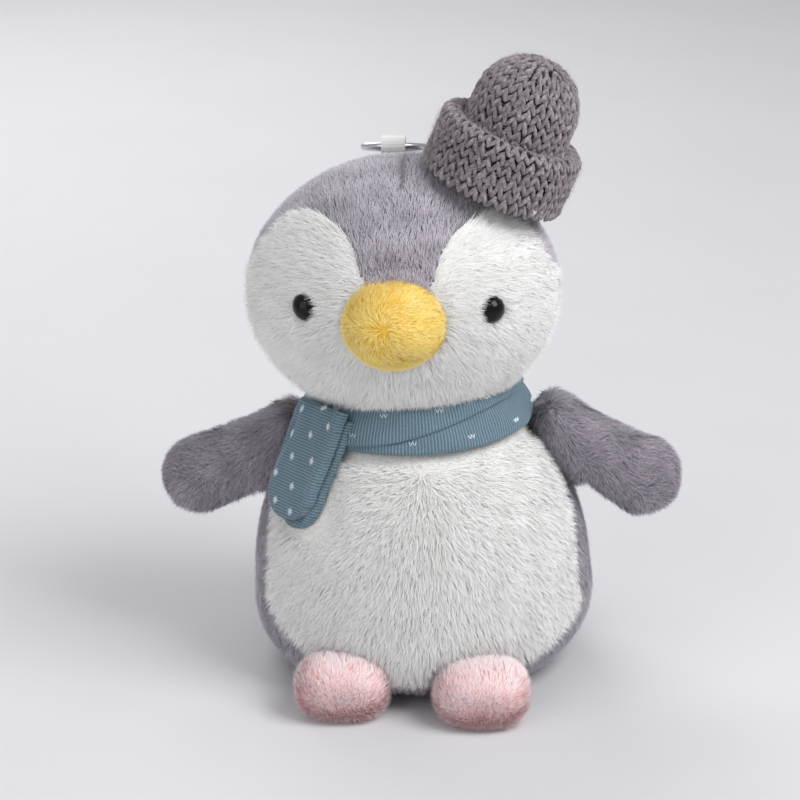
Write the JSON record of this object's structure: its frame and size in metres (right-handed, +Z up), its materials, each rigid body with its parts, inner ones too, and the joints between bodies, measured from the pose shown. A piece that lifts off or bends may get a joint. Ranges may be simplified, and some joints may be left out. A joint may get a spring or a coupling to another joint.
{
  "type": "plush penguin",
  "caption": "Small stuffed penguin that stands on a flat base, with a turning head, swinging flippers, bending feet, a jersey scarf, a knitted hat and a hanging ring.",
  "frame": {"origin": "centre of the flat base, on the surface it stands on", "axes": "+Z up, the face looks along -Y, the penguin's own left is +X"},
  "size_m": [0.1081, 0.0778, 0.1309],
  "materials": {
    "white_plush": "soft white pile",
    "grey_plush": "soft lavender-grey pile",
    "yellow_plush": "soft yellow pile",
    "pink_plush": "soft pink pile",
    "polyester_filling": "loose polyester filling",
    "eye_plastic": "polished black",
    "washer_plastic": "moulded, natural",
    "scarf_jersey": "fine teal-blue jersey with small pale motifs",
    "hat_knit": "chunky grey-brown knit",
    "white_ribbon": "woven ribbon",
    "ring_steel": "plated wire"
  },
  "bodies": {
    "body": {"base_panel": "grey_plush", "belly_right": "white_plush", "belly_left": "white_plush", "body_back_right": "grey_plush", "body_back_left": "grey_plush", "body_filling": "polyester_filling", "scarf_band": "scarf_jersey"},
    "neck": {"neck_filling": "polyester_filling"},
    "head": {"face_right": "white_plush", "face_left": "white_plush", "head_back_right": "grey_plush", "head_back_left": "grey_plush", "forehead_panel": "grey_plush", "head_filling": "polyester_filling", "eye_right": "eye_plastic", "eye_left": "eye_plastic", "eye_washer_right": "washer_plastic", "eye_washer_left": "washer_plastic", "beak_upper": "yellow_plush", "beak_lower": "yellow_plush", "beak_filling": "polyester_filling", "hang_ribbon": "white_ribbon"},
    "right_arm": {"arm_front_right": "grey_plush", "arm_back_right": "grey_plush", "arm_filling_right": "polyester_filling"},
    "left_arm": {"arm_front_left": "grey_plush", "arm_back_left": "grey_plush", "arm_filling_left": "polyester_filling"},
    "right_foot": {"foot_top_right": "pink_plush", "foot_sole_right": "pink_plush", "foot_filling_right": "polyester_filling"},
    "left_foot": {"foot_top_left": "pink_plush", "foot_sole_left": "pink_plush", "foot_filling_left": "polyester_filling"},
    "scarf_ends": {"scarf_end_front": "scarf_jersey", "scarf_end_back": "scarf_jersey"},
    "hat": {"hat_cuff": "hat_knit", "hat_dome": "hat_knit", "hat_filling": "polyester_filling"},
    "ring": {"hang_ring": "ring_steel"}
  },
  "joints": [
    {"name": "neck_turn", "type": "hinge", "parent": "body", "child": "neck", "pos_m": [-0.003, 0, 0.058], "axis": [0, 0, 1], "range_deg": [-20, 20], "stiffness_Nm_per_rad": 0.05},
    {"name": "head_nod", "type": "hinge", "parent": "neck", "child": "head", "pos_m": [-0.003, 0, 0.058], "axis": [1, 0, 0], "range_deg": [-6, 6], "stiffness_Nm_per_rad": 0.08},
    {"name": "right_arm_swing", "type": "hinge", "parent": "body", "child": "right_arm", "pos_m": [-0.03492, 0, 0.04634], "axis": [0.454, 0, 0.891], "range_deg": [-35, 45], "stiffness_Nm_per_rad": 0.006},
    {"name": "left_arm_swing", "type": "hinge", "parent": "body", "child": "left_arm", "pos_m": [0.0307, 0, 0.04847], "axis": [0.5446, 0, -0.8387], "range_deg": [-35, 45], "stiffness_Nm_per_rad": 0.006},
    {"name": "right_foot_bend", "type": "hinge", "parent": "body", "child": "right_foot", "pos_m": [-0.017, -0.033, 0.0059], "axis": [-0.9903, 0.1392, 0], "range_deg": [-10, 25], "stiffness_Nm_per_rad": 0.01},
    {"name": "left_foot_bend", "type": "hinge", "parent": "body", "child": "left_foot", "pos_m": [0.0116, -0.034, 0.0059], "axis": [-0.9903, -0.1392, 0], "range_deg": [-10, 25], "stiffness_Nm_per_rad": 0.01},
    {"name": "scarf_ends_swing", "type": "hinge", "parent": "body", "child": "scarf_ends", "pos_m": [-0.0217, -0.01806, 0.0625], "axis": [-0.6947, 0.7193, 0], "range_deg": [0, 80]},
    {"name": "hat_tilt", "type": "hinge", "parent": "head", "child": "hat", "pos_m": [0.02706, -0.004, 0.09771], "axis": [0, 1, 0], "range_deg": [0, 20], "stiffness_Nm_per_rad": 0.006},
    {"name": "ring_swing", "type": "hinge", "parent": "head", "child": "ring", "pos_m": [-0.0085, 0.01, 0.1096], "axis": [1, 0, 0], "range_deg": [0, 150]}
  ]
}
